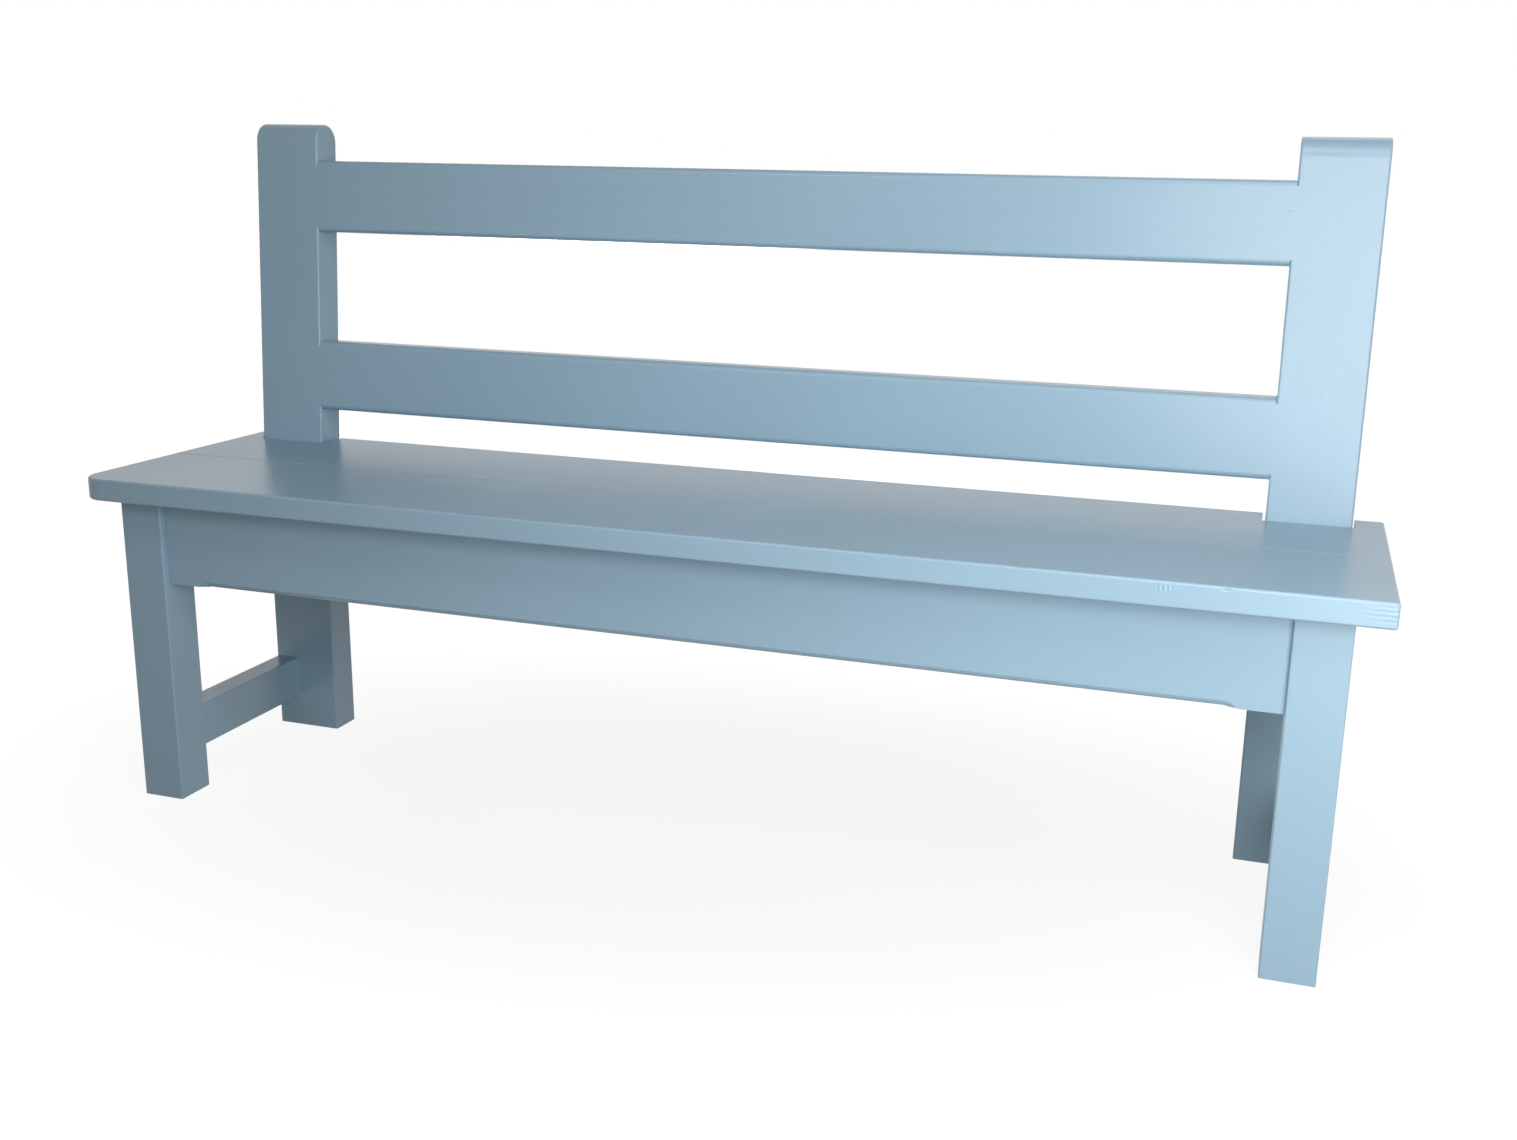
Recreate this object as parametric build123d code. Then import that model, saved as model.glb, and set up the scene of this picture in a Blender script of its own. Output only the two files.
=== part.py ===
from build123d import *
import os
from math import cos, radians, sin, sqrt

# Painted wooden bench settle with a two-rail back, in millimetres, +Z up and the front facing -Y.
# While a piece is modelled, y is 0 at the front faces of the front legs. At the end all pieces
# move together, so that the origin lies on the floor under the middle of the whole bench.

# Overall sizes
frame_length = 1545.0            # across the outer faces of the legs and of the posts
frame_depth = 310.0              # front face of the legs to front face of the posts
seat_height = 450.0
overall_height = 906.0
back_lean = 3.7                  # degrees by which the back leans from upright

# Rear posts, each sawn from one plank with a bend at the seat
post_width = 101.5
post_thickness = 49.0
bend_radius = 150.0
post_edge_round = 3.0

# Front legs
leg_width = 61.0
leg_depth = 57.5
leg_edge_round = 2.0

# Back rails. The shares are of the posts' length above the seat that no rail covers.
rail_height = 100.0
rail_thickness = 43.0
rail_front_round = 7.0
rail_back_round = 3.0
lower_opening_share = 0.1934     # between the seat and the lower rail
rail_gap_share = 0.6074          # between the two rails

# Seat, two boards edge to edge
seat_thickness = 29.0
seat_front_overhang = 33.0
seat_end_overhang = 38.0
front_board_width = 194.0
seat_edge_round = 3.0
seat_corner_radius = 33.0        # in plan, at the front left corner, the only one cut round
seam_groove_depth = 1.2
notch_side_gap = 3.5             # gap beside each post in its notch in the rear board
notch_front_gap = 0.3

# Aprons under the seat
apron_height = 115.0
apron_thickness = 24.0
apron_setback = 8.0              # from the outer faces of the legs and posts
ovolo_radius = 7.0               # stopped moulding along the front apron's lower edge
ovolo_step = 2.0
ovolo_bearing_radius = 9.5
ovolo_stop = 63.0                # plain length left at each end of the moulding

# Side stretchers
stretcher_height = 61.0
stretcher_thickness = 37.0
stretcher_rise = 48.0            # floor to underside
stretcher_setback = 2.0
stretcher_edge_round = 2.0

# Mortise and tenon joints
rail_tenon_thickness = 15.0
rail_tenon_length = 60.0
apron_tenon_thickness = 10.0
apron_tenon_length = 28.0
stretcher_tenon_thickness = 12.0
tenon_shoulder = 12.0            # above and below every tenon
glue_gap = 0.1
mortise_end_gap = 2.0

# Seat bearers, tenoned between the front and rear aprons
bearer_width = 45.0
bearer_height = 40.0
bearer_tenon_thickness = 20.0
bearer_tenon_height = 24.0
bearer_tenon_length = 10.0
bearer_pitch_share = 0.38        # of the clear length between the front legs
bearer_screw_shares = (0.12, 0.38, 0.62, 0.88)

# Corner blocks, notched round the legs and posts
block_height = 40.0
block_reach_along = 55.0         # glued length along the front or rear apron
block_reach_side = 70.0          # glued length along the side apron
block_gap = 0.3
block_screw_along_share = 0.5    # of the glued length, from the leg or post
block_screw_side_share = 0.66

# Dowels between the seat boards, placed by shares of the bearer pitch
dowel_radius = 4.0
dowel_length = 40.0
dowel_place_shares = (-1.25, -0.75, -0.25, 0.25, 0.75, 1.25)

# Countersunk wood screws
screw_radius = 2.0
screw_head_radius = 4.0
screw_head_height = 2.4
screw_point_length = 5.0
screw_point_radius = 0.3
screw_slot_width = 1.0
screw_slot_depth = 1.2
screw_gap = 0.1
seat_screw_length = 50.0
seat_screw_bite = 18.0           # length held by the seat board
block_screw_length = 30.0
block_screw_bite = 14.0          # length held by the apron

overrun = 60.0                   # how far any cutter runs past the wood

# Places that follow from the sizes above
outer_x = frame_length / 2
post_inner_x = outer_x - post_width
leg_inner_x = outer_x - leg_width
post_back_y = frame_depth + post_thickness
seat_underside = seat_height - seat_thickness
seat_end_x = outer_x + seat_end_overhang
seam_y = front_board_width - seat_front_overhang
apron_bottom = seat_underside - apron_height
apron_heights = (apron_bottom, seat_underside)
front_apron_back_y = apron_setback + apron_thickness
rear_apron_front_y = post_back_y - apron_setback - apron_thickness
side_apron_inner_x = outer_x - apron_setback - apron_thickness
bearer_pitch = bearer_pitch_share * leg_inner_x * 2
bearer_indices = (-1, 0, 1)      # left, middle and right

# The half-round top is centred halfway through the post, so that its crest is the overall height.
nose_radius = post_thickness / 2
lean = radians(back_lean)
nose_rise = (overall_height - seat_height - nose_radius * (1 - sin(lean))) / cos(lean)
bench_front_y = -seat_front_overhang
bench_back_y = frame_depth + nose_rise * sin(lean) + nose_radius * (1 + cos(lean))

# Heights of the rails' lower edges, measured up the leaning posts from the top of the seat
clear_rise = nose_rise + nose_radius - 2 * rail_height
lower_rail_rise = lower_opening_share * clear_rise
upper_rail_rise = lower_rail_rise + rail_height + rail_gap_share * clear_rise
rail_rises = (lower_rail_rise, upper_rail_rise)

# Moves a piece drawn upright, with its front at y 0 and the seat's top at z 0, into the leaning back
leaning_back = Pos(0, frame_depth, seat_height) * Rot(-back_lean, 0, 0)

# Stands a box or a cylinder on its own base plane
on_base = (Align.CENTER, Align.CENTER, Align.MIN)


def block(x_limits, y_limits, z_limits):
    """A rectangular block between two limits on each axis."""
    limits = (x_limits, y_limits, z_limits)
    size = [high - low for low, high in limits]
    middle = [(high + low) / 2 for low, high in limits]
    return Pos(*middle) * Box(*size)


def both_ends(piece):
    """A piece at the right end together with its mirror image at the left end."""
    return piece + mirror(piece, about=Plane.YZ)


def joint_face(x, y, z, outward):
    """The plane of a tenon's shoulder, with its x across the tenon's thickness."""
    across = (0, 1, 0) if outward[0] else (1, 0, 0)
    return Plane(origin=(x, y, z), x_dir=across, z_dir=outward)


def tenon(face, thickness, height, length):
    """A tenon that stands on a shoulder face."""
    return face * Box(thickness, height, length, align=on_base)


def mortise(face, thickness, height, length):
    """The blind slot for a tenon, with room for glue at its sides and its end."""
    slot = Box(
        thickness + 2 * glue_gap,
        height + 2 * glue_gap,
        length + mortise_end_gap + overrun,
        align=on_base,
    )
    return face * Pos(0, 0, -overrun) * slot


def routed_edge(half_run, axis_z, face_y, bearing, radius, step):
    """Waste of a roundover bit, its axis square to a front face, that runs level between two stops."""
    reach = bearing + radius
    centre = (reach, face_y + step + radius)
    half_section = make_face(
        [
            Line((0, face_y - overrun), (reach, face_y - overrun)),
            Line((reach, face_y - overrun), (reach, face_y + step)),
            CenterArc(centre, radius, 180, 90),
            Line((bearing, centre[1]), (0, centre[1])),
            Line((0, centre[1]), (0, face_y - overrun)),
        ]
    )
    bit = revolve(half_section, Axis.Y)
    section = half_section + mirror(half_section, about=Plane.YZ)
    run = extrude(Rot(0, 90, 0) * section, half_run, both=True)
    return Pos(0, 0, axis_z) * (run + both_ends(Pos(half_run, 0, 0) * bit))


# Shoulder faces, named for the piece that carries the tenon
def rail_joint(rise):
    """Right shoulder of a back rail, in the upright back."""
    return joint_face(post_inner_x, rail_thickness / 2, rise + rail_height / 2, (1, 0, 0))


apron_middle_z = seat_underside - apron_height / 2
front_apron_y = apron_setback + apron_thickness / 2
rear_apron_y = rear_apron_front_y + apron_thickness / 2
side_apron_x = side_apron_inner_x + apron_thickness / 2
stretcher_x = outer_x - stretcher_setback - stretcher_thickness / 2
stretcher_z = stretcher_rise + stretcher_height / 2
front_apron_joint = joint_face(leg_inner_x, front_apron_y, apron_middle_z, (1, 0, 0))
rear_apron_joint = joint_face(post_inner_x, rear_apron_y, apron_middle_z, (1, 0, 0))
side_apron_joints = (
    joint_face(side_apron_x, leg_depth, apron_middle_z, (0, -1, 0)),
    joint_face(side_apron_x, frame_depth, apron_middle_z, (0, 1, 0)),
)
stretcher_joints = (
    joint_face(stretcher_x, leg_depth, stretcher_z, (0, -1, 0)),
    joint_face(stretcher_x, frame_depth, stretcher_z, (0, 1, 0)),
)
rail_tenon_size = (rail_tenon_thickness, rail_height - 2 * tenon_shoulder, rail_tenon_length)
apron_tenon_size = (apron_tenon_thickness, apron_height - 2 * tenon_shoulder, apron_tenon_length)
stretcher_tenon_height = stretcher_height - 2 * tenon_shoulder
stretcher_tenon_size = (stretcher_tenon_thickness, stretcher_tenon_height, apron_tenon_length)
bearer_tenon_size = (bearer_tenon_thickness, bearer_tenon_height, bearer_tenon_length)


def post_outline():
    """Side view of a post: an upright leg, a leaning upper part and a half-round top."""
    leg = Pos(frame_depth + nose_radius, seat_height / 2) * Rectangle(post_thickness, seat_height)
    upper = Pos(nose_radius, nose_rise / 2) * Rectangle(post_thickness, nose_rise)
    upper += Pos(nose_radius, nose_rise) * Circle(nose_radius)
    outline = leg + Pos(frame_depth, seat_height) * Rot(0, 0, -back_lean) * upper
    bend = outline.vertices().sort_by_distance((frame_depth + nose_radius, seat_height))[:2]
    return fillet(bend, bend_radius)


def rear_post():
    """The right rear post."""
    post = Pos(post_inner_x, 0, 0) * extrude(Plane.YZ * post_outline(), post_width)
    sides = post.faces().sort_by(Axis.X)
    side_edges = sides[0].edges() + sides[-1].edges()
    post = fillet([edge for edge in side_edges if edge.center().Z > post_edge_round], post_edge_round)
    for rise in rail_rises:
        # The roundover stops beside a rail, where the rail's front lies flush with the post.
        square_edge = block(
            (post_inner_x, post_inner_x + 2 * post_edge_round),
            (0, 2 * post_edge_round),
            (rise + rail_front_round, rise + rail_height - rail_front_round),
        )
        post += leaning_back * square_edge
        post -= leaning_back * mortise(rail_joint(rise), *rail_tenon_size)
    post -= mortise(rear_apron_joint, *apron_tenon_size)
    post -= mortise(side_apron_joints[1], *apron_tenon_size)
    post -= mortise(stretcher_joints[1], *stretcher_tenon_size)
    return post


def front_leg():
    """The right front leg."""
    leg = block((leg_inner_x, outer_x), (0, leg_depth), (0, seat_underside))
    leg = fillet(leg.edges().filter_by(Axis.Z), leg_edge_round)
    leg -= mortise(front_apron_joint, *apron_tenon_size)
    leg -= mortise(side_apron_joints[0], *apron_tenon_size)
    leg -= mortise(stretcher_joints[0], *stretcher_tenon_size)
    return leg


def back_rail(rise):
    """A back rail, flush with the fronts of the posts."""
    rail = block((-post_inner_x, post_inner_x), (0, rail_thickness), (rise, rise + rail_height))
    rail = fillet(rail.edges().filter_by(Axis.X).group_by(Axis.Y)[0], rail_front_round)
    rail = fillet(rail.edges().filter_by(Axis.X).group_by(Axis.Y)[-1], rail_back_round)
    rail += both_ends(tenon(rail_joint(rise), *rail_tenon_size))
    return leaning_back * rail


def bearer_joint(index, y, outward):
    """Shoulder of a seat bearer against an apron's inner face."""
    return joint_face(index * bearer_pitch, y, seat_underside - bearer_height / 2, outward)


def bearer_mortises(y, outward):
    """The mortises of all bearers in one long apron."""
    return [mortise(bearer_joint(index, y, outward), *bearer_tenon_size) for index in bearer_indices]


def front_apron():
    """The front apron, with a stopped ovolo moulding along its lower front edge."""
    apron = block((-leg_inner_x, leg_inner_x), (apron_setback, front_apron_back_y), apron_heights)
    half_run = leg_inner_x - ovolo_stop
    axis_z = apron_bottom - ovolo_bearing_radius
    apron -= routed_edge(half_run, axis_z, apron_setback, ovolo_bearing_radius, ovolo_radius, ovolo_step)
    apron += both_ends(tenon(front_apron_joint, *apron_tenon_size))
    apron -= both_ends(front_block.screw_places()[1] * screw_hole(block_screw_length))
    return apron - bearer_mortises(front_apron_back_y, (0, -1, 0))


def rear_apron():
    """The rear apron, between the posts."""
    y_limits = (rear_apron_front_y, rear_apron_front_y + apron_thickness)
    apron = block((-post_inner_x, post_inner_x), y_limits, apron_heights)
    apron += both_ends(tenon(rear_apron_joint, *apron_tenon_size))
    apron -= both_ends(rear_block.screw_places()[1] * screw_hole(block_screw_length))
    return apron - bearer_mortises(rear_apron_front_y, (0, 1, 0))


def side_apron():
    """The right side apron, from the front leg to the rear post."""
    x_limits = (side_apron_inner_x, side_apron_inner_x + apron_thickness)
    apron = block(x_limits, (leg_depth, frame_depth), apron_heights)
    for corner in (front_block, rear_block):
        apron -= corner.screw_places()[2] * screw_hole(block_screw_length)
    return apron + [tenon(face, *apron_tenon_size) for face in side_apron_joints]


def side_stretcher():
    """The right side stretcher, low down between the front leg and the rear post."""
    x_limits = (stretcher_x - stretcher_thickness / 2, stretcher_x + stretcher_thickness / 2)
    z_limits = (stretcher_rise, stretcher_rise + stretcher_height)
    stretcher = block(x_limits, (leg_depth, frame_depth), z_limits)
    stretcher = fillet(stretcher.edges().filter_by(Axis.Y), stretcher_edge_round)
    return stretcher + [tenon(face, *stretcher_tenon_size) for face in stretcher_joints]


def screw(length):
    """A countersunk screw that points up, with its head's flat face at z 0."""
    shank_end = length - screw_point_length
    body = Cylinder(screw_radius, shank_end, align=on_base)
    body += Cone(screw_head_radius, screw_radius, screw_head_height, align=on_base)
    point = Cone(screw_radius, screw_point_radius, screw_point_length, align=on_base)
    body += Pos(0, 0, shank_end) * point
    for angle in (0, 90):
        body -= Rot(0, 0, angle) * Box(screw_head_radius, screw_slot_width, 2 * screw_slot_depth)
    return body


def screw_hole(length):
    """The hole for a screw, with a counterbore that runs out past the wood below its head."""
    head_radius = screw_head_radius + screw_gap
    hole_radius = screw_radius + screw_gap
    hole = Cylinder(hole_radius, length + screw_gap, align=on_base)
    hole += Cone(head_radius, hole_radius, screw_head_height, align=on_base)
    hole += Pos(0, 0, -overrun) * Cylinder(head_radius, overrun, align=on_base)
    return hole


def bearer_screw_places(index):
    """Where the screws of one bearer stand, pointing up into the seat."""
    x = index * bearer_pitch
    z = seat_underside + seat_screw_bite - seat_screw_length
    span = rear_apron_front_y - front_apron_back_y
    return [Pos(x, front_apron_back_y + share * span, z) for share in bearer_screw_shares]


def seat_bearer(index):
    """A seat bearer, tenoned into the front and rear aprons."""
    x = index * bearer_pitch
    x_limits = (x - bearer_width / 2, x + bearer_width / 2)
    z_limits = (seat_underside - bearer_height, seat_underside)
    bearer = block(x_limits, (front_apron_back_y, rear_apron_front_y), z_limits)
    bearer += tenon(bearer_joint(index, front_apron_back_y, (0, -1, 0)), *bearer_tenon_size)
    bearer += tenon(bearer_joint(index, rear_apron_front_y, (0, 1, 0)), *bearer_tenon_size)
    return bearer - [place * screw_hole(seat_screw_length) for place in bearer_screw_places(index)]


class CornerBlock:
    """A block glued and screwed in a right-hand corner of the aprons, notched round the leg or post."""

    def __init__(self, apron_y, upright_x, upright_y, inward):
        self.apron_y = apron_y          # inner face of the front or rear apron
        self.upright_x = upright_x      # inner side of the leg or post
        self.upright_y = upright_y      # face of the leg or post that the side apron meets
        self.inward = inward            # 1 where the frame's middle lies towards +Y, otherwise -1

    def screw_places(self):
        """Where the three screws stand: up into the seat, into the long apron and into the side apron."""
        along_x = self.upright_x - block_screw_along_share * block_reach_along
        side_y = self.upright_y + self.inward * block_screw_side_share * block_reach_side
        standing_back = block_screw_length - block_screw_bite
        near_x = self.upright_x - screw_head_radius
        near_y = self.upright_y + self.inward * 2 * screw_head_radius
        middle_z = seat_underside - block_height / 2
        up = Pos(near_x, near_y, seat_underside + seat_screw_bite - seat_screw_length)
        along = Pos(along_x, self.apron_y + self.inward * standing_back, middle_z)
        side = Pos(side_apron_inner_x - standing_back, side_y, middle_z)
        return up, along * Rot(self.inward * 90, 0, 0), side * Rot(0, 90, 0)

    def solid(self):
        """The block itself, with its screw holes."""
        edge_x = self.upright_x - block_gap
        edge_y = self.upright_y + self.inward * block_gap
        outline = Polyline(
            (self.upright_x - block_reach_along, self.apron_y),
            (edge_x, self.apron_y),
            (edge_x, edge_y),
            (side_apron_inner_x, edge_y),
            (side_apron_inner_x, self.upright_y + self.inward * block_reach_side),
            close=True,
        )
        wood = extrude(make_face(outline), block_height, dir=(0, 0, 1))
        wood = Pos(0, 0, seat_underside - block_height) * wood
        up, along, side = self.screw_places()
        wood -= up * screw_hole(seat_screw_length)
        return wood - [place * screw_hole(block_screw_length) for place in (along, side)]


front_block = CornerBlock(front_apron_back_y, leg_inner_x, leg_depth, 1)
rear_block = CornerBlock(rear_apron_front_y, post_inner_x, frame_depth, -1)


def dowel_places():
    """Where the dowels lie across the seam, halfway through the seat."""
    z = seat_height - seat_thickness / 2
    return [Pos(share * bearer_pitch, seam_y, z) * Rot(90, 0, 0) for share in dowel_place_shares]


def seat_screw_holes():
    """The holes that the seat screws make in the underside of the seat."""
    places = [place for index in bearer_indices for place in bearer_screw_places(index)]
    holes = [place * screw_hole(seat_screw_length) for place in places]
    for corner in (front_block, rear_block):
        hole = corner.screw_places()[0] * screw_hole(seat_screw_length)
        holes += [hole, mirror(hole, about=Plane.YZ)]
    return holes


def seat_boards():
    """The front and rear seat boards, shaped as one panel and parted at the seam."""
    panel = block((-seat_end_x, seat_end_x), (bench_front_y, post_back_y), (seat_underside, seat_height))
    front_left = panel.edges().filter_by(Axis.Z).group_by(Axis.Y)[0].sort_by(Axis.X)[0]
    panel = fillet(front_left, seat_corner_radius)
    panel = fillet(panel.edges(), seat_edge_round)
    notch = block(
        (post_inner_x - notch_side_gap, outer_x + notch_side_gap),
        (frame_depth - notch_front_gap, post_back_y + overrun),
        (seat_underside - overrun, seat_height + overrun),
    )
    panel -= both_ends(notch)
    groove_side = seam_groove_depth * sqrt(2)
    groove = Box(2 * (seat_end_x + overrun), groove_side, groove_side)
    panel -= Pos(0, seam_y, seat_height) * Rot(45, 0, 0) * groove
    dowel_hole = Cylinder(dowel_radius + glue_gap, dowel_length + 2 * mortise_end_gap)
    panel -= [place * dowel_hole for place in dowel_places()]
    panel -= seat_screw_holes()
    beyond_x = (-seat_end_x - overrun, seat_end_x + overrun)
    beyond_z = (seat_underside - overrun, seat_height + overrun)
    front = panel & block(beyond_x, (bench_front_y - overrun, seam_y), beyond_z)
    rear = panel & block(beyond_x, (seam_y, post_back_y + overrun), beyond_z)
    return front, rear


def main():
    """Builds every piece and writes each one to its own file."""
    pieces = {}

    def add_pair(name, right_piece):
        pieces[f"{name}_right"] = right_piece
        pieces[f"{name}_left"] = mirror(right_piece, about=Plane.YZ)

    add_pair("rear_post", rear_post())
    add_pair("front_leg", front_leg())
    pieces["back_lower_rail"] = back_rail(lower_rail_rise)
    pieces["back_top_rail"] = back_rail(upper_rail_rise)
    pieces["front_apron"] = front_apron()
    pieces["rear_apron"] = rear_apron()
    add_pair("side_apron", side_apron())
    add_pair("side_stretcher", side_stretcher())
    pieces["seat_board_front"], pieces["seat_board_rear"] = seat_boards()
    for index, side in zip(bearer_indices, ("left", "middle", "right")):
        pieces[f"seat_bearer_{side}"] = seat_bearer(index)
    add_pair("corner_block_front", front_block.solid())
    add_pair("corner_block_rear", rear_block.solid())
    pieces["seat_joint_dowels"] = [place * Cylinder(dowel_radius, dowel_length) for place in dowel_places()]

    seat_screws = [
        place * screw(seat_screw_length) for index in bearer_indices for place in bearer_screw_places(index)
    ]
    corner_screws = []
    for corner in (front_block, rear_block):
        up, along, side = corner.screw_places()
        right_up = up * screw(seat_screw_length)
        seat_screws += [right_up, mirror(right_up, about=Plane.YZ)]
        for place in (along, side):
            right_screw = place * screw(block_screw_length)
            corner_screws += [right_screw, mirror(right_screw, about=Plane.YZ)]
    pieces["seat_screws"] = seat_screws
    pieces["corner_block_screws"] = corner_screws

    # The origin lies on the floor under the middle of the whole bench.
    to_origin = Pos(0, -(bench_front_y + bench_back_y) / 2, 0)
    os.makedirs("parts", exist_ok=True)
    for name, piece in pieces.items():
        solids = piece if isinstance(piece, list) else [piece]
        placed = Compound([solid for part in solids for solid in (to_origin * part).solids()])
        export_step(placed, f"parts/{name}.step")


main()
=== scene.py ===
"""Looks of a painted bench settle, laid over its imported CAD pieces.

The bench is pine under satin blue-grey paint. Bearers and corner blocks under the seat are bare
pine, the dowels in the seat's seam are beech, and the screws are zinc-plated steel. Lengths are in
metres and stand in the CAD's own frame: +X to the bench's right, -Y to its front and +Z up.
"""

from __future__ import annotations

import logging
import math
from dataclasses import dataclass
from enum import Enum

import bpy
import numpy as np
from mathutils import Matrix, Vector

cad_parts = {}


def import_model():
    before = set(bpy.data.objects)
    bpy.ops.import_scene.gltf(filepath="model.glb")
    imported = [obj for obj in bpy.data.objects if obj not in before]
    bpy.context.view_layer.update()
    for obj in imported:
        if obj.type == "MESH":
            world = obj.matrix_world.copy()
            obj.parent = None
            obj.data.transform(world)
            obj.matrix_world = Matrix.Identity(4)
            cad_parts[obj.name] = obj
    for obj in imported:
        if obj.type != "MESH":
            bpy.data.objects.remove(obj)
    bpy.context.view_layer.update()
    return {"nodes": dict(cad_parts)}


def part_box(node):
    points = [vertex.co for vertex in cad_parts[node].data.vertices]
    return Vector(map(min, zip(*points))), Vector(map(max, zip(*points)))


LOG = logging.getLogger("bench")
MM = 0.001
WHITE = "#FFFFFF"

# A Mix node has sockets of the same name for each kind of data, so its colour ones go by number.
MIX_SHARE, MIX_FIRST, MIX_SECOND, MIX_COLOUR = 0, 6, 7, 2

Pair = tuple[float, float]
Triple = tuple[float, float, float]


class GrainAxis(Enum):
    """The bench's axis that a piece's grain follows, as the turn that lays it on texture X."""

    LENGTHWISE = (0.0, 0.0, 0.0)
    DEPTHWISE = (0.0, 0.0, -math.pi / 2)
    UPRIGHT = (0.0, math.pi / 2, 0.0)

    def turn(self) -> Matrix:
        """The turn as a rotation matrix."""
        return Matrix.Rotation(self.value[1], 3, "Y") @ Matrix.Rotation(self.value[2], 3, "Z")


def linear_colour(code: str) -> tuple[float, float, float, float]:
    """Turns an sRGB hex colour into linear light, by the curve of the sRGB standard.

    Args:
        code: six hex digits after a hash sign.

    Returns:
        Red, green and blue from 0 to 1, and an alpha of 1.
    """
    srgb = np.array([int(code[place : place + 2], 16) for place in (1, 3, 5)]) / 255
    light = np.where(srgb <= 0.04045, srgb / 12.92, ((srgb + 0.055) / 1.055) ** 2.4)
    return (*light.tolist(), 1.0)


def add_node(
    tree: bpy.types.NodeTree,
    kind: str,
    inputs: dict[str | int, object] | None = None,
    **settings: object,
) -> bpy.types.Node:
    """Adds a node with its settings and links.

    Args:
        tree: the node tree that takes it.
        kind: the node's type.
        inputs: by socket, a constant or the output socket that feeds it.
        settings: the node's own properties.

    Returns:
        The new node.
    """
    node = tree.nodes.new(kind)
    for name, value in settings.items():
        setattr(node, name, value)
    for socket, value in (inputs or {}).items():
        if isinstance(value, bpy.types.NodeSocket):
            tree.links.new(value, node.inputs[socket])
        else:
            node.inputs[socket].default_value = value
    return node


def new_material(name: str) -> tuple[bpy.types.Material, bpy.types.NodeTree, bpy.types.Node]:
    """Makes a material that is still plain.

    Args:
        name: the material's name.

    Returns:
        The material, its node tree and its surface shader.
    """
    made = bpy.data.materials.new(name)
    made.use_nodes = True
    return made, made.node_tree, made.node_tree.nodes["Principled BSDF"]


def raise_surface(
    tree: bpy.types.NodeTree,
    shader: bpy.types.Node,
    reliefs: list[tuple[bpy.types.NodeSocket, float]],
) -> None:
    """Sums reliefs to one height in metres, and bumps the shader's surface by it.

    Args:
        tree: the material's nodes.
        shader: the surface shader.
        reliefs: each relief's socket, and the metres that a value of 1 there stands for.
    """
    height: bpy.types.NodeSocket | float = 0.0
    for relief, lift in reliefs:
        height = add_node(
            tree, "ShaderNodeMath", {0: relief, 1: lift, 2: height}, operation="MULTIPLY_ADD"
        ).outputs["Value"]
    bump = add_node(tree, "ShaderNodeBump", {"Height": height, "Distance": 1.0})
    tree.links.new(bump.outputs["Normal"], shader.inputs["Normal"])


@dataclass(frozen=True)
class Mark:
    """A small blemish that shows through the paint, as ridges within an ellipsoid on a face.

    The ridges are a cosine along one of the bench's axes, the one that runs across them. They are
    full within the ellipsoid's core, which is a share of its reach, and fade out from there to its
    surface. A pitch of twice the reach along that axis leaves a single ridge or dent.
    """

    place: Triple
    reach: Triple
    across: Triple
    pitch: float
    lift: float
    core: float = 0.3

    def height(self, tree: bpy.types.NodeTree) -> bpy.types.NodeSocket:
        """Adds the nodes of the mark's relief.

        Args:
            tree: the material's nodes.

        Returns:
            The socket of the relief, in metres.
        """
        position = add_node(tree, "ShaderNodeTexCoord").outputs["Object"]
        offset = add_node(
            tree, "ShaderNodeVectorMath", {0: position, 1: self.place}, operation="SUBTRACT"
        ).outputs["Vector"]
        scaled = add_node(
            tree, "ShaderNodeVectorMath", {0: offset, 1: self.reach}, operation="DIVIDE"
        ).outputs["Vector"]
        distance = add_node(
            tree, "ShaderNodeVectorMath", {0: scaled}, operation="LENGTH"
        ).outputs["Value"]
        strength = add_node(
            tree,
            "ShaderNodeMapRange",
            {"Value": distance, "From Min": 1.0, "From Max": self.core, "To Max": self.lift},
            interpolation_type="SMOOTHSTEP",
        ).outputs["Result"]
        step = add_node(
            tree, "ShaderNodeVectorMath", {0: offset, 1: self.across}, operation="DOT_PRODUCT"
        ).outputs["Value"]
        phase = add_node(
            tree, "ShaderNodeMath", {0: step, 1: 2 * math.pi / self.pitch}, operation="MULTIPLY"
        ).outputs["Value"]
        wave = add_node(tree, "ShaderNodeMath", {0: phase}, operation="COSINE").outputs["Value"]
        return add_node(
            tree, "ShaderNodeMath", {0: wave, 1: strength}, operation="MULTIPLY"
        ).outputs["Value"]


@dataclass(frozen=True)
class WoodenPiece:
    """One piece of wood: its CAD node, its grain's axis, its pith and any blemishes that show.

    The pith is placed from the middle of the piece: along the grain, across it and through the
    board. Pieces of a kind have theirs at different places along, so that their grain differs.
    """

    node: str
    axis: GrainAxis
    pith: Triple
    marks: tuple[Mark, ...] = ()

    def middle(self) -> Vector:
        """The middle of the CAD node's box."""
        low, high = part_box(self.node)
        return (low + high) / 2


@dataclass(frozen=True)
class GrainFields:
    """The sockets that one piece's grain gives: values that vary from 0 to 1, and the position."""

    position: bpy.types.NodeSocket
    rings: bpy.types.NodeSocket
    fibres: bpy.types.NodeSocket
    streaks: bpy.types.NodeSocket


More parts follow.
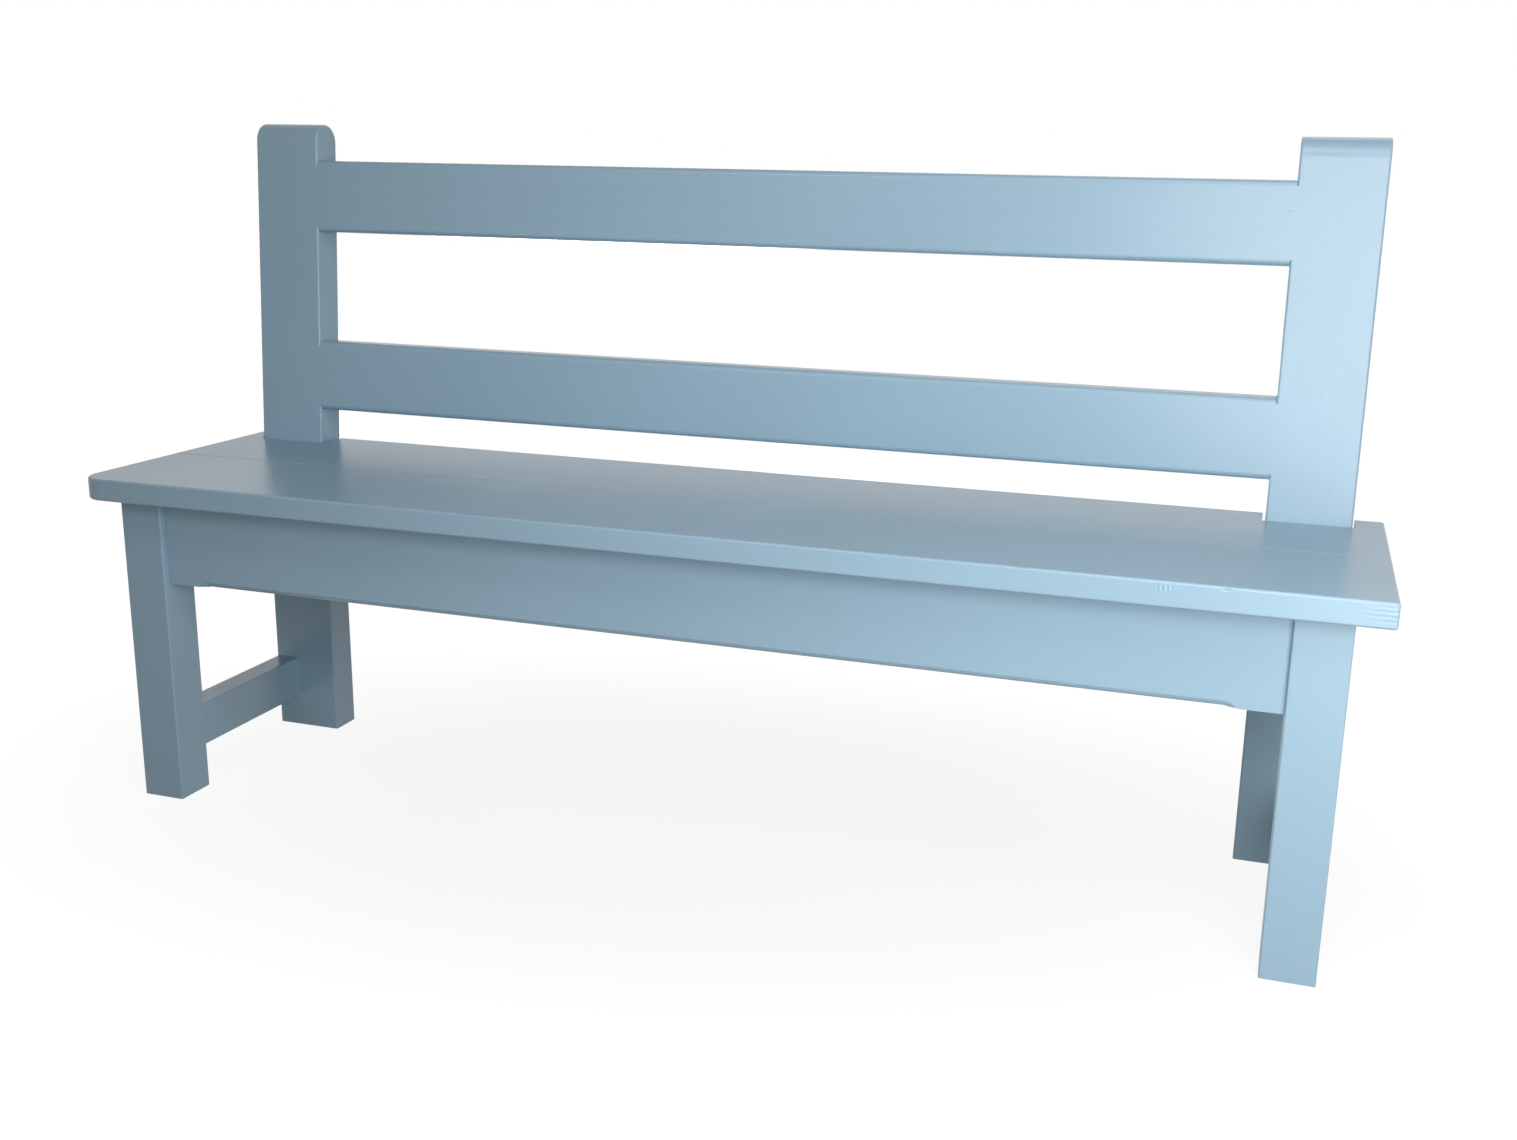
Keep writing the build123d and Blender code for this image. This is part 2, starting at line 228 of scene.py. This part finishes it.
@dataclass(frozen=True)
class Grain:
    """Solid wood grain: growth rings round a pith that runs beside the piece, and long fibres.

    The rings are a sine of the distance to the pith, and wood is dark where the sine is over
    ring_edge. The distance wanders slowly along the board and is uneven from ring to ring, so that
    faces show long lines and arches, as sawn wood does. Real fibres are finer than a pixel, so
    they are drawn 1.6 mm wide.
    """

    ring_spacing: float = 4.5 * MM
    ring_edge: float = -0.3
    unevenness: float = 12 * MM
    wander: float = 14 * MM
    wander_length: float = 350 * MM
    wander_detail: float = 2.0
    fibre_width: float = 1.6 * MM
    fibre_length: float = 70 * MM
    streak_width: float = 5 * MM
    streak_length: float = 420 * MM
    streak_detail: float = 3.0

    def stretched(
        self,
        tree: bpy.types.NodeTree,
        position: bpy.types.NodeSocket,
        length: float,
        width: float,
    ) -> bpy.types.NodeSocket:
        """Adds a noise that is drawn out along the wood.

        Args:
            tree: the material's nodes.
            position: the socket of the place in the wood, with the grain along X.
            length: how long the noise's spots are, along the wood.
            width: how wide they are, across it.

        Returns:
            The socket of the noise, from 0 to 1.
        """
        scaled = add_node(
            tree,
            "ShaderNodeVectorMath",
            {0: position, 1: (1 / length, 1 / width, 1 / width)},
            operation="MULTIPLY",
        ).outputs["Vector"]
        return add_node(
            tree,
            "ShaderNodeTexNoise",
            {"Vector": scaled, "Scale": 1.0, "Detail": self.streak_detail},
        ).outputs["Fac"]

    def lay(self, tree: bpy.types.NodeTree, piece: WoodenPiece) -> GrainFields:
        """Adds the nodes of one piece's grain.

        Args:
            tree: the material's nodes.
            piece: the piece of wood.

        Returns:
            The sockets of the grain.
        """
        place = Vector(piece.pith) - piece.axis.turn() @ piece.middle()
        object_space = add_node(tree, "ShaderNodeTexCoord").outputs["Object"]
        position = add_node(
            tree,
            "ShaderNodeMapping",
            {"Vector": object_space, "Rotation": piece.axis.value, "Location": tuple(place)},
        ).outputs["Vector"]
        # Each channel of the drift lies round a half. With that taken off, twice the wander makes
        # it wander that far to each side.
        drift = add_node(
            tree,
            "ShaderNodeTexNoise",
            {"Vector": position, "Scale": 1 / self.wander_length, "Detail": self.wander_detail},
        ).outputs["Color"]
        drift = add_node(
            tree, "ShaderNodeVectorMath", {0: drift, 1: (0.5, 0.5, 0.5)}, operation="SUBTRACT"
        ).outputs["Vector"]
        bent = add_node(
            tree,
            "ShaderNodeVectorMath",
            {0: drift, 1: (0.0, self.wander * 2, self.wander * 2), 2: position},
            operation="MULTIPLY_ADD",
        ).outputs["Vector"]
        across = add_node(
            tree, "ShaderNodeVectorMath", {0: bent, 1: (0.0, 1.0, 1.0)}, operation="MULTIPLY"
        ).outputs["Vector"]
        radius = add_node(
            tree, "ShaderNodeVectorMath", {0: across}, operation="LENGTH"
        ).outputs["Value"]
        streaks = self.stretched(tree, position, self.streak_length, self.streak_width)
        uneven = add_node(
            tree,
            "ShaderNodeMath",
            {0: streaks, 1: self.unevenness, 2: radius},
            operation="MULTIPLY_ADD",
        ).outputs["Value"]
        phase = add_node(
            tree,
            "ShaderNodeMath",
            {0: uneven, 1: 2 * math.pi / self.ring_spacing},
            operation="MULTIPLY",
        ).outputs["Value"]
        wave = add_node(tree, "ShaderNodeMath", {0: phase}, operation="SINE").outputs["Value"]
        rings = add_node(
            tree,
            "ShaderNodeMapRange",
            {"Value": wave, "From Min": self.ring_edge, "From Max": 1.0},
            interpolation_type="SMOOTHSTEP",
        ).outputs["Result"]
        fibres = self.stretched(tree, position, self.fibre_length, self.fibre_width)
        return GrainFields(position=position, rings=rings, fibres=fibres, streaks=streaks)


@dataclass(frozen=True)
class SatinPaint:
    """Satin acrylic paint, brushed along the grain over planed pine.

    Satin paint throws back a soft, blurred image of what stands near it. The brush leaves long
    faint streaks in its tone and sheen, and the pine's rings lift it by a few thousandths of a
    millimetre, in patches. The real ridges are finer than a pixel, so they are drawn 4 to 5 mm
    wide. A pair of edges holds the two values of a noise between which its effect comes in.
    The sheen stays over 0.28: a denoised render takes smoother paint for a mirror, and draws the
    brush's faint streaks far too strongly.
    """

    body: str = "#90ADBF"
    light: str = "#93B0C2"
    tone_edges: Pair = (0.1, 0.4)
    sheen_smooth: float = 0.29
    sheen_dull: float = 0.3
    sheen_edges: Pair = (0.3, 0.7)
    ior: float = 1.5
    ring_lift: float = 0.003 * MM
    fibre_lift: float = 0.003 * MM
    streak_lift: float = 0.002 * MM
    patch_length: float = 260 * MM
    patch_detail: float = 1.0
    patch_edges: Pair = (0.42, 0.62)
    grain: Grain = Grain()

    def material(self, piece: WoodenPiece) -> bpy.types.Material:
        """Makes the paint for one piece.

        Args:
            piece: the piece of wood under it.

        Returns:
            The material.
        """
        made, tree, shader = new_material(f"satin_paint_{piece.node}")
        grain = self.grain.lay(tree, piece)
        patches = add_node(
            tree,
            "ShaderNodeTexNoise",
            {
                "Vector": grain.position,
                "Scale": 1 / self.patch_length,
                "Detail": self.patch_detail,
            },
        ).outputs["Fac"]
        patch_start, patch_end = self.patch_edges
        shown = add_node(
            tree,
            "ShaderNodeMapRange",
            {"Value": patches, "From Min": patch_start, "From Max": patch_end},
        ).outputs["Result"]
        ring_height = add_node(
            tree, "ShaderNodeMath", {0: grain.rings, 1: shown}, operation="MULTIPLY"
        ).outputs["Value"]
        reliefs = [
            (ring_height, self.ring_lift),
            (grain.fibres, self.fibre_lift),
            (grain.streaks, self.streak_lift),
        ]
        raise_surface(tree, shader, reliefs + [(mark.height(tree), 1.0) for mark in piece.marks])
        tone = add_node(
            tree, "ShaderNodeMath", {0: grain.streaks, 1: patches}, operation="MULTIPLY"
        ).outputs["Value"]
        tone_start, tone_end = self.tone_edges
        tone = add_node(
            tree,
            "ShaderNodeMapRange",
            {"Value": tone, "From Min": tone_start, "From Max": tone_end},
        ).outputs["Result"]
        colour = add_node(
            tree,
            "ShaderNodeMix",
            {
                MIX_SHARE: tone,
                MIX_FIRST: linear_colour(self.body),
                MIX_SECOND: linear_colour(self.light),
            },
            data_type="RGBA",
        ).outputs[MIX_COLOUR]
        sheen_start, sheen_end = self.sheen_edges
        sheen = add_node(
            tree,
            "ShaderNodeMapRange",
            {
                "Value": grain.streaks,
                "From Min": sheen_start,
                "From Max": sheen_end,
                "To Min": self.sheen_smooth,
                "To Max": self.sheen_dull,
            },
        ).outputs["Result"]
        tree.links.new(colour, shader.inputs["Base Color"])
        tree.links.new(sheen, shader.inputs["Roughness"])
        shader.inputs["IOR"].default_value = self.ior
        return made


@dataclass(frozen=True)
class BarePine:
    """Planed pine with no finish: cream earlywood, amber latewood lines, and no gloss.

    Its shade comes from the rings and, by fibre_share, from the fibres.
    """

    early: str = "#DDBE8C"
    late: str = "#BD8E55"
    fibre_share: float = 0.5
    shade_edges: Pair = (0.1, 1.4)
    roughness: float = 0.62
    ior: float = 1.5
    ring_lift: float = 0.03 * MM
    fibre_lift: float = 0.03 * MM
    grain: Grain = Grain(ring_spacing=4 * MM)

    def material(self, piece: WoodenPiece) -> bpy.types.Material:
        """Makes the surface of one piece.

        Args:
            piece: the piece of wood.

        Returns:
            The material.
        """
        made, tree, shader = new_material(f"bare_pine_{piece.node}")
        grain = self.grain.lay(tree, piece)
        shade = add_node(
            tree,
            "ShaderNodeMath",
            {0: grain.fibres, 1: self.fibre_share, 2: grain.rings},
            operation="MULTIPLY_ADD",
        ).outputs["Value"]
        shade_start, shade_end = self.shade_edges
        shade = add_node(
            tree,
            "ShaderNodeMapRange",
            {"Value": shade, "From Min": shade_start, "From Max": shade_end},
        ).outputs["Result"]
        colour = add_node(
            tree,
            "ShaderNodeMix",
            {
                MIX_SHARE: shade,
                MIX_FIRST: linear_colour(self.early),
                MIX_SECOND: linear_colour(self.late),
            },
            data_type="RGBA",
        ).outputs[MIX_COLOUR]
        reliefs = [(grain.rings, self.ring_lift), (grain.fibres, self.fibre_lift)]
        raise_surface(tree, shader, reliefs)
        tree.links.new(colour, shader.inputs["Base Color"])
        shader.inputs["Roughness"].default_value = self.roughness
        shader.inputs["IOR"].default_value = self.ior
        return made


@dataclass(frozen=True)
class Beech:
    """Turned beech dowel: an even pinkish tan with short dark flecks along the grain."""

    body: str = "#D3A77C"
    fleck: str = "#A87850"
    fleck_length: float = 3 * MM
    fleck_width: float = 0.5 * MM
    fleck_detail: float = 2.0
    fleck_edges: Pair = (0.55, 0.75)
    roughness: float = 0.55
    ior: float = 1.5

    def material(self) -> bpy.types.Material:
        """Makes the dowels' wood, whose grain runs with the dowels, along Y.

        Returns:
            The material.
        """
        made, tree, shader = new_material("beech_dowels")
        position = add_node(tree, "ShaderNodeTexCoord").outputs["Object"]
        scaled = add_node(
            tree,
            "ShaderNodeVectorMath",
            {0: position, 1: (1 / self.fleck_width, 1 / self.fleck_length, 1 / self.fleck_width)},
            operation="MULTIPLY",
        ).outputs["Vector"]
        noise = add_node(
            tree,
            "ShaderNodeTexNoise",
            {"Vector": scaled, "Scale": 1.0, "Detail": self.fleck_detail},
        ).outputs["Fac"]
        fleck_start, fleck_end = self.fleck_edges
        flecks = add_node(
            tree,
            "ShaderNodeMapRange",
            {"Value": noise, "From Min": fleck_start, "From Max": fleck_end},
        ).outputs["Result"]
        colour = add_node(
            tree,
            "ShaderNodeMix",
            {
                MIX_SHARE: flecks,
                MIX_FIRST: linear_colour(self.body),
                MIX_SECOND: linear_colour(self.fleck),
            },
            data_type="RGBA",
        ).outputs[MIX_COLOUR]
        tree.links.new(colour, shader.inputs["Base Color"])
        shader.inputs["Roughness"].default_value = self.roughness
        shader.inputs["IOR"].default_value = self.ior
        return made


@dataclass(frozen=True)
class ZincPlate:
    """Zinc-plated steel screws: a bright bluish metal with a faint cloudy plating."""

    bright: str = "#C6CBD1"
    cloudy: str = "#A9B0B8"
    cloud_size: float = 1.5 * MM
    smooth: float = 0.28
    dull: float = 0.42

    def material(self) -> bpy.types.Material:
        """Makes the plating.

        Returns:
            The material.
        """
        made, tree, shader = new_material("zinc_plate")
        position = add_node(tree, "ShaderNodeTexCoord").outputs["Object"]
        clouds = add_node(
            tree, "ShaderNodeTexNoise", {"Vector": position, "Scale": 1 / self.cloud_size}
        ).outputs["Fac"]
        colour = add_node(
            tree,
            "ShaderNodeMix",
            {
                MIX_SHARE: clouds,
                MIX_FIRST: linear_colour(self.bright),
                MIX_SECOND: linear_colour(self.cloudy),
            },
            data_type="RGBA",
        ).outputs[MIX_COLOUR]
        sheen = add_node(
            tree,
            "ShaderNodeMapRange",
            {"Value": clouds, "To Min": self.smooth, "To Max": self.dull},
        ).outputs["Result"]
        tree.links.new(colour, shader.inputs["Base Color"])
        tree.links.new(sheen, shader.inputs["Roughness"])
        shader.inputs["Metallic"].default_value = 1.0
        return made


def give_material(
    nodes: dict[str, bpy.types.Object], node: str, made: bpy.types.Material
) -> None:
    """Puts a material in every slot of a CAD node's object, and reports the piece.

    Args:
        nodes: the CAD nodes by name.
        node: the node to dress.
        made: its material.
    """
    piece = nodes[node]
    for place in piece.material_slots:
        place.link = "OBJECT"
        place.material = made
    LOG.info("%s: %s", node, made.name)


@dataclass(frozen=True)
class PaintedAssembly:
    """A part of the bench whose pieces are all painted."""

    pieces: tuple[WoodenPiece, ...]

    def dress(self, nodes: dict[str, bpy.types.Object], paint: SatinPaint) -> None:
        """Paints each piece.

        Args:
            nodes: the CAD nodes by name.
            paint: the finish.
        """
        for piece in self.pieces:
            give_material(nodes, piece.node, paint.material(piece))


@dataclass(frozen=True)
class Back(PaintedAssembly):
    """The leaning back: two posts and two rails.

    Near the top rail's right end the grain has lifted the paint, with a small dent above it.
    """

    pieces: tuple[WoodenPiece, ...] = (
        WoodenPiece("rear_post_left", GrainAxis.UPRIGHT, (0.3, 0.09, 0.06)),
        WoodenPiece("rear_post_right", GrainAxis.UPRIGHT, (-0.3, 0.09, -0.06)),
        WoodenPiece(
            "back_top_rail",
            GrainAxis.LENGTHWISE,
            (0.0, 0.14, -0.02),
            (
                Mark(
                    place=(0.600, 0.156, 0.792),
                    reach=(0.15, 0.03, 0.03),
                    across=(0.0, 0.0, 1.0),
                    pitch=4.5 * MM,
                    lift=0.035 * MM,
                ),
                Mark(
                    place=(0.666, 0.157, 0.8206),
                    reach=(0.006, 0.006, 0.003),
                    across=(0.0, 0.0, 1.0),
                    pitch=6 * MM,
                    lift=-0.2 * MM,
                ),
            ),
        ),
        WoodenPiece("back_lower_rail", GrainAxis.LENGTHWISE, (2.0, 0.14, 0.02)),
    )


@dataclass(frozen=True)
class Seat(PaintedAssembly):
    """The two seat boards, glued edge to edge over dowels.

    The front edge has a few short ridges, to their right a dent near its top, and faint lines of
    grain by its right end.
    """

    pieces: tuple[WoodenPiece, ...] = (
        WoodenPiece(
            "seat_board_front",
            GrainAxis.LENGTHWISE,
            (0.0, 0.03, -0.11),
            (
                Mark(
                    place=(0.580, -0.210, 0.4425),
                    reach=(0.014, 0.004, 0.004),
                    across=(1.0, 0.0, 0.0),
                    pitch=5 * MM,
                    lift=0.3 * MM,
                ),
                Mark(
                    place=(0.6434, -0.210, 0.4465),
                    reach=(0.007, 0.004, 0.003),
                    across=(0.0, 0.0, 1.0),
                    pitch=6 * MM,
                    lift=-0.7 * MM,
                ),
                Mark(
                    place=(0.800, -0.210, 0.437),
                    reach=(0.03, 0.01, 0.014),
                    across=(0.0, 0.0, 1.0),
                    pitch=5 * MM,
                    lift=0.1 * MM,
                ),
            ),
        ),
        WoodenPiece("seat_board_rear", GrainAxis.LENGTHWISE, (3.0, -0.03, -0.11)),
    )


@dataclass(frozen=True)
class Underframe(PaintedAssembly):
    """The front legs, aprons and side stretchers."""

    pieces: tuple[WoodenPiece, ...] = (
        WoodenPiece("front_leg_left", GrainAxis.UPRIGHT, (0.1, 0.05, 0.07)),
        WoodenPiece("front_leg_right", GrainAxis.UPRIGHT, (1.1, -0.05, 0.07)),
        WoodenPiece("front_apron", GrainAxis.LENGTHWISE, (0.0, 0.10, 0.03)),
        WoodenPiece("rear_apron", GrainAxis.LENGTHWISE, (2.0, 0.10, 0.03)),
        WoodenPiece("side_apron_left", GrainAxis.DEPTHWISE, (0.0, 0.10, 0.03)),
        WoodenPiece("side_apron_right", GrainAxis.DEPTHWISE, (1.0, 0.10, 0.03)),
        WoodenPiece("side_stretcher_left", GrainAxis.DEPTHWISE, (4.0, 0.03, 0.10)),
        WoodenPiece("side_stretcher_right", GrainAxis.DEPTHWISE, (5.0, 0.03, 0.10)),
    )


@dataclass(frozen=True)
class HiddenJoinery:
    """What holds the seat from below: bare bearers and corner blocks, dowels and screws."""

    bare_pieces: tuple[WoodenPiece, ...] = (
        WoodenPiece("seat_bearer_left", GrainAxis.DEPTHWISE, (0.0, 0.05, -0.06)),
        WoodenPiece("seat_bearer_middle", GrainAxis.DEPTHWISE, (1.0, 0.05, -0.06)),
        WoodenPiece("seat_bearer_right", GrainAxis.DEPTHWISE, (2.0, 0.05, -0.06)),
        WoodenPiece("corner_block_front_left", GrainAxis.LENGTHWISE, (0.2, 0.07, 0.04)),
        WoodenPiece("corner_block_front_right", GrainAxis.LENGTHWISE, (1.2, 0.07, 0.04)),
        WoodenPiece("corner_block_rear_left", GrainAxis.LENGTHWISE, (2.2, 0.07, 0.04)),
        WoodenPiece("corner_block_rear_right", GrainAxis.LENGTHWISE, (3.2, 0.07, 0.04)),
    )
    dowels: str = "seat_joint_dowels"
    screws: tuple[str, ...] = ("seat_screws", "corner_block_screws")

    def dress(self, nodes: dict[str, bpy.types.Object]) -> None:
        """Gives each hidden piece its material.

        Args:
            nodes: the CAD nodes by name.
        """
        pine = BarePine()
        for piece in self.bare_pieces:
            give_material(nodes, piece.node, pine.material(piece))
        give_material(nodes, self.dowels, Beech().material())
        plate = ZincPlate().material()
        for node in self.screws:
            give_material(nodes, node, plate)


@dataclass(frozen=True)
class SoftLamp:
    """A rectangular soft white lamp that faces a point."""

    name: str
    place: Triple
    aim: Triple
    width: float
    height: float
    watts: float

    def build(self) -> None:
        """Adds the lamp to the scene."""
        data = bpy.data.lights.new(self.name, "AREA")
        data.shape = "RECTANGLE"
        data.size = self.width
        data.size_y = self.height
        data.energy = self.watts
        lamp = bpy.data.objects.new(self.name, data)
        lamp.visible_camera = False
        lamp.location = self.place
        direction = Vector(self.aim) - Vector(self.place)
        lamp.rotation_euler = direction.to_track_quat("-Z", "Y").to_euler()
        bpy.context.scene.collection.objects.link(lamp)
        LOG.info("lamp %s", self.name)


def seen_directly(tree: bpy.types.NodeTree) -> bpy.types.NodeSocket:
    """Tells what the eye sees, straight or by a reflection, from what lights the bench.

    Args:
        tree: the nodes of the world or of a material.

    Returns:
        A socket that is 1 for camera, transmission and glossy rays, and 0 for all others.
    """
    path = add_node(tree, "ShaderNodeLightPath")
    seen = path.outputs["Is Camera Ray"]
    for ray in ("Is Transmission Ray", "Is Glossy Ray"):
        seen = add_node(
            tree, "ShaderNodeMath", {0: seen, 1: path.outputs[ray]}, operation="MAXIMUM"
        ).outputs["Value"]
    return seen


@dataclass(frozen=True)
class Studio:
    """A plain white studio: soft lamps round the bench, a pale floor and white beyond it.

    The floor takes the lamps' light as a mid grey, which holds the bench's shadow, and adds light
    of its own for the eye and for reflections alone. Under the bench that light of its own is held
    below white, as a painted shade, and it grows to the 1 of white between two distances from the
    middle of the floor. These are measured with X squeezed, so that the painted shade follows the
    long bench.
    """

    ambient: float = 0.05
    floor_radius: float = 9.0
    floor_rings: int = 24
    floor_spokes: int = 64
    floor_colour: str = "#5E5E5E"
    # The floor's own light under the bench, held below white as a painted shade.
    painted_shade_glow: float = 0.86
    # The two distances between which the painted shade under the bench fades to white.
    painted_shade_edges: Pair = (0.2, 0.9)
    # Squeezes X in those distances, so that the painted shade follows the long bench.
    painted_shade_squeeze: Triple = (0.6, 1.0, 1.0)
    lamps: tuple[SoftLamp, ...] = (
        SoftLamp("key", (0.85, -1.25, 0.82), (0.2, 0.0, 0.5), 1.0, 0.75, 14.5),
        SoftLamp("upper_key", (1.05, -0.75, 1.4), (0.4, 0.0, 0.5), 0.7, 0.7, 4.0),
        SoftLamp("low_key", (1.1, -1.2, 0.25), (0.6, 0.0, 0.1), 0.7, 0.5, 5.5),
        SoftLamp("overhead", (0.4, -1.4, 2.6), (0.4, 0.0, 0.5), 0.6, 0.6, 10.0),
        SoftLamp("fill", (-0.8, -2.6, 2.0), (0.0, 0.0, 0.5), 0.8, 0.8, 7.6),
        SoftLamp("rear_high", (0.3, 2.4, 2.8), (0.0, 0.2, 0.4), 2.0, 1.6, 12.0),
        SoftLamp("rear_low", (-1.1, 2.2, 0.2), (-0.1, 0.2, 0.5), 1.0, 0.3, 26.0),
    )

    def world(self) -> None:
        """Lights the room faintly from all round, and shows white behind the bench."""
        world = bpy.data.worlds.new("studio")
        bpy.context.scene.world = world
        world.use_nodes = True
        tree = world.node_tree
        tree.nodes.clear()
        strength = add_node(
            tree,
            "ShaderNodeMapRange",
            {"Value": seen_directly(tree), "To Min": self.ambient, "To Max": 1.0},
        ).outputs["Result"]
        room = add_node(
            tree, "ShaderNodeBackground", {"Color": linear_colour(WHITE), "Strength": strength}
        ).outputs["Background"]
        add_node(tree, "ShaderNodeOutputWorld", {"Surface": room})

    def floor(self) -> None:
        """Lays the floor: a flat disc of rings and spokes, at radius r and angle a.

        Each point is (r cos a, r sin a, 0), with the radii spaced as a square so that the rings are
        close together near the bench.
        """
        rings, spokes = self.floor_rings, self.floor_spokes
        radii = self.floor_radius * (np.arange(1, rings + 1) / rings) ** 2
        angles = np.linspace(0, 2 * np.pi, spokes, endpoint=False)
        across = np.outer(radii, np.cos(angles))
        deep = np.outer(radii, np.sin(angles))
        flat = np.stack([across, deep, np.zeros((rings, spokes))], axis=-1).reshape(-1, 3)
        points = np.vstack([np.zeros((1, 3)), flat])
        here = np.arange(spokes)
        after = (here + 1) % spokes
        fan = np.stack([np.zeros(spokes, int), 1 + here, 1 + after], axis=-1).tolist()
        inner = 1 + np.arange(rings - 1)[:, None] * spokes
        quads = np.stack(
            [inner + here, inner + here + spokes, inner + after + spokes, inner + after], axis=-1
        )
        mesh = bpy.data.meshes.new("floor")
        mesh.from_pydata(points.tolist(), [], fan + quads.reshape(-1, 4).tolist())
        floor = bpy.data.objects.new("floor", mesh)
        bpy.context.scene.collection.objects.link(floor)
        mesh.materials.append(self.floor_material())
        LOG.info("floor")

    def floor_material(self) -> bpy.types.Material:
        """The floor: pale matt paint that keeps the bench's shadow. Its own light holds a painted
        shade beneath the bench, and fades to white far away.

        Returns:
            The material.
        """
        made, tree, _ = new_material("pale_floor")
        tree.nodes.clear()
        position = add_node(tree, "ShaderNodeTexCoord").outputs["Object"]
        squeezed = add_node(
            tree, "ShaderNodeVectorMath", {0: position, 1: self.painted_shade_squeeze}, operation="MULTIPLY"
        ).outputs["Vector"]
        away = add_node(
            tree, "ShaderNodeVectorMath", {0: squeezed}, operation="LENGTH"
        ).outputs["Value"]
        painted_shade_fade_start, painted_shade_fade_end = self.painted_shade_edges
        # The floor's own light is lower near the middle, a painted shade under the bench, and white
        # further out.
        glow_with_painted_shade = add_node(
            tree,
            "ShaderNodeMapRange",
            {
                "Value": away,
                "From Min": painted_shade_fade_start,
                "From Max": painted_shade_fade_end,
                "To Min": self.painted_shade_glow,
                "To Max": 1.0,
            },
            interpolation_type="SMOOTHSTEP",
        ).outputs["Result"]
        glow_with_painted_shade = add_node(
            tree, "ShaderNodeMath", {0: glow_with_painted_shade, 1: seen_directly(tree)}, operation="MULTIPLY"
        ).outputs["Value"]
        matt = add_node(
            tree, "ShaderNodeBsdfDiffuse", {"Color": linear_colour(self.floor_colour)}
        ).outputs["BSDF"]
        # Emission for the eye and for reflections: white far out, with a painted shade under the
        # bench.
        white = add_node(
            tree, "ShaderNodeEmission", {"Color": linear_colour(WHITE), "Strength": glow_with_painted_shade}
        ).outputs["Emission"]
        both = add_node(tree, "ShaderNodeAddShader", {0: matt, 1: white}).outputs["Shader"]
        add_node(tree, "ShaderNodeOutputMaterial", {"Surface": both})
        return made

    def build(self) -> None:
        """Sets up the room, the floor and the lamps."""
        self.world()
        self.floor()
        for lamp in self.lamps:
            lamp.build()


@dataclass(frozen=True)
class PhotographCamera:
    """The photograph's camera, as worked out from the bench's corners in the picture.

    Its angles are in degrees. The focal length and the shift of the picture's middle are in the
    photograph's pixels, of which a row has frame_width, and the sensor's width is in millimetres.
    """

    place: Triple = (0.68292, -1.82769, 0.86587)
    yaw: float = 17.877
    pitch: float = -14.209
    roll: float = 1.053
    focal_pixels: float = 1560.643
    middle_right: float = 24.228
    middle_down: float = -12.819
    frame_width: int = 1517
    sensor: float = 36.0

    def build(self) -> None:
        """Adds the camera and makes it the scene's own.

        It looks along (-sin yaw cos pitch, cos yaw cos pitch, sin pitch) and is then rolled.
        """
        yaw, pitch, roll = (math.radians(angle) for angle in (self.yaw, self.pitch, self.roll))
        forward = Vector(
            (-math.sin(yaw) * math.cos(pitch), math.cos(yaw) * math.cos(pitch), math.sin(pitch))
        )
        level = Vector((math.cos(yaw), math.sin(yaw), 0.0))
        upright = level.cross(forward)
        right = math.cos(roll) * level + math.sin(roll) * upright
        upward = math.cos(roll) * upright - math.sin(roll) * level
        data = bpy.data.cameras.new("camera")
        data.sensor_width = self.sensor
        data.lens = self.focal_pixels * self.sensor / self.frame_width
        data.shift_x = -self.middle_right / self.frame_width
        data.shift_y = self.middle_down / self.frame_width
        camera = bpy.data.objects.new("camera", data)
        turn = Matrix((right, upward, -forward)).transposed()
        camera.matrix_world = Matrix.Translation(self.place) @ turn.to_4x4()
        bpy.context.scene.collection.objects.link(camera)
        bpy.context.scene.camera = camera
        LOG.info("camera")


def main() -> None:
    """Builds the looks in order: back, seat, underframe, hidden joinery, studio and camera."""
    logging.basicConfig(level=logging.INFO, format="%(name)s: %(message)s")
    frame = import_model()
    bpy.context.scene.view_settings.view_transform = "Standard"
    paint = SatinPaint()
    for assembly in (Back(), Seat(), Underframe()):
        assembly.dress(frame["nodes"], paint)
    HiddenJoinery().dress(frame["nodes"])
    Studio().build()
    PhotographCamera().build()


if __name__ == "__main__":
    main()
